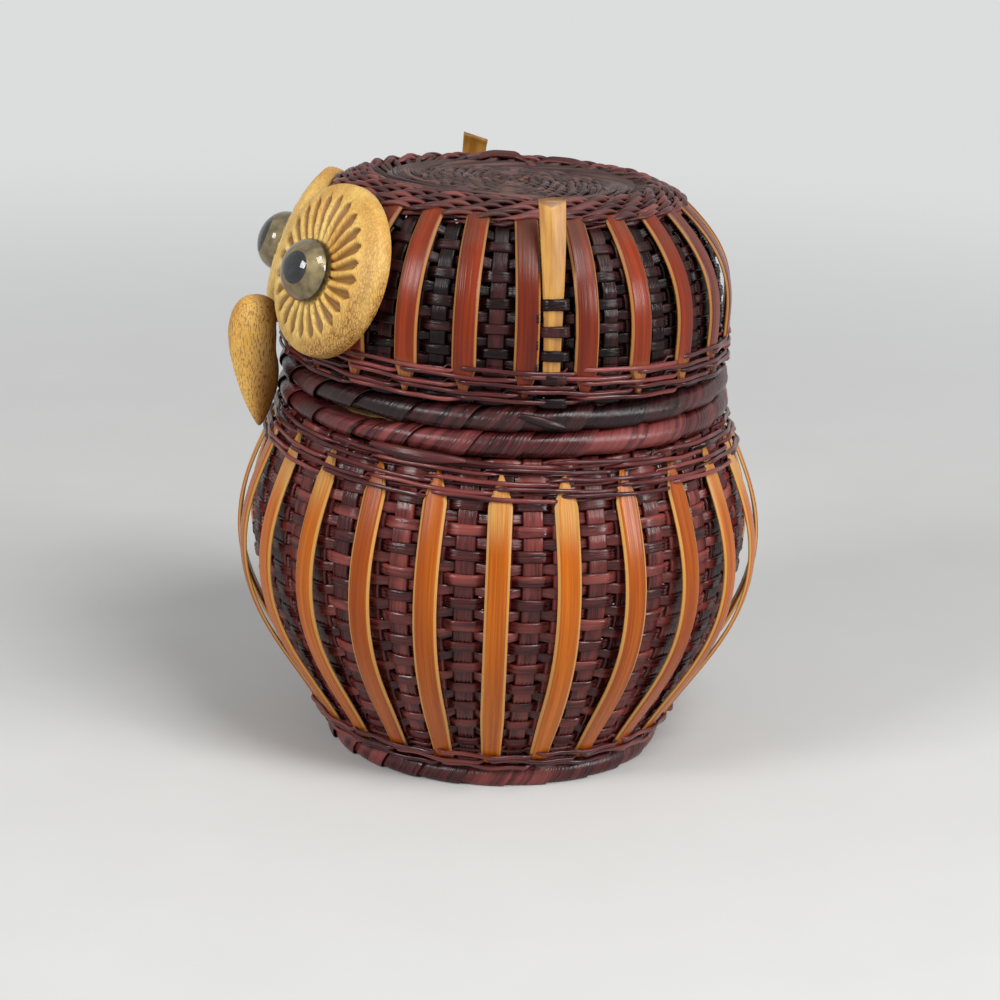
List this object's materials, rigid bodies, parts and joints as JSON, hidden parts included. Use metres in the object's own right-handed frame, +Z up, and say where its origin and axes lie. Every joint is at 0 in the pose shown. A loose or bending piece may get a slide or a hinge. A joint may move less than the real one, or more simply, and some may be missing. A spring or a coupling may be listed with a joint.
{
  "type": "owl basket",
  "caption": "Round lidded wicker basket in the shape of an owl, with bamboo slats over a dark woven wall, carved eye discs, a wooden beak and a lift-off lid.",
  "frame": {"origin": "on the floor below the middle of the whole owl; the round body has its axis 1.6 mm behind it", "axes": "+Z up along the axis of the basket and its lid, -Y the way the owl looks, +X to its left"},
  "size_m": [0.1386, 0.1418, 0.1551],
  "materials": {
    "wicker": "dark purple stain under gloss varnish",
    "splint": "dark purple stain under gloss varnish",
    "dusty_wicker": "worn grey-brown stain, matt",
    "amber_bamboo": "amber gloss varnish with pale bevelled edges",
    "russet_bamboo": "russet satin varnish with pale bevelled edges",
    "pale_bamboo": "bare, satin",
    "boxwood": "waxed, satin",
    "eye_glass": "clear, faintly smoky",
    "pupil": "blue-black gloss",
    "wire": "dull"
  },
  "bodies": {
    "basket": {"foot_rim": "splint", "basket_base": "wicker", "basket_wall": "wicker", "basket_rim": "splint", "basket_lower_binding": "wicker", "basket_upper_binding": "wicker", "basket_slat_01": "amber_bamboo", "basket_slat_02": "amber_bamboo", "basket_slat_03": "amber_bamboo", "basket_slat_04": "amber_bamboo", "basket_slat_05": "amber_bamboo", "basket_slat_06": "amber_bamboo", "basket_slat_07": "amber_bamboo", "basket_slat_08": "amber_bamboo", "basket_slat_09": "amber_bamboo", "basket_slat_10": "amber_bamboo", "basket_slat_11": "amber_bamboo", "basket_slat_12": "amber_bamboo", "basket_slat_13": "amber_bamboo", "basket_slat_14": "amber_bamboo", "basket_slat_15": "amber_bamboo", "basket_slat_16": "amber_bamboo", "basket_slat_17": "amber_bamboo", "basket_slat_18": "amber_bamboo", "basket_slat_19": "amber_bamboo", "basket_slat_20": "amber_bamboo", "basket_slat_21": "amber_bamboo", "basket_slat_22": "amber_bamboo", "basket_slat_23": "amber_bamboo", "basket_slat_24": "amber_bamboo"},
    "collar": {"collar_hoop": "pale_bamboo"},
    "lid": {"lid_rim": "splint", "lid_wall": "wicker", "lid_slats": "russet_bamboo", "lid_lower_binding": "wicker", "lid_cap": "dusty_wicker", "beak": "boxwood", "beak_peg": "pale_bamboo", "ear_left": "pale_bamboo", "ear_right": "pale_bamboo", "eye_disc_left": "boxwood", "eye_glass_left": "eye_glass", "eye_pupil_left": "pupil", "eye_wire_left": "wire", "eye_disc_right": "boxwood", "eye_glass_right": "eye_glass", "eye_pupil_right": "pupil", "eye_wire_right": "wire"}
  },
  "joints": [
    {"name": "lid_lift", "type": "slide", "parent": "basket", "child": "collar", "axis": [0, 0, 1], "range_m": [0, 0.12]},
    {"name": "lid_turn", "type": "hinge", "parent": "collar", "child": "lid", "pos_m": [0, 0.00161, 0.0984], "axis": [0, 0, 1], "continuous": true}
  ]
}
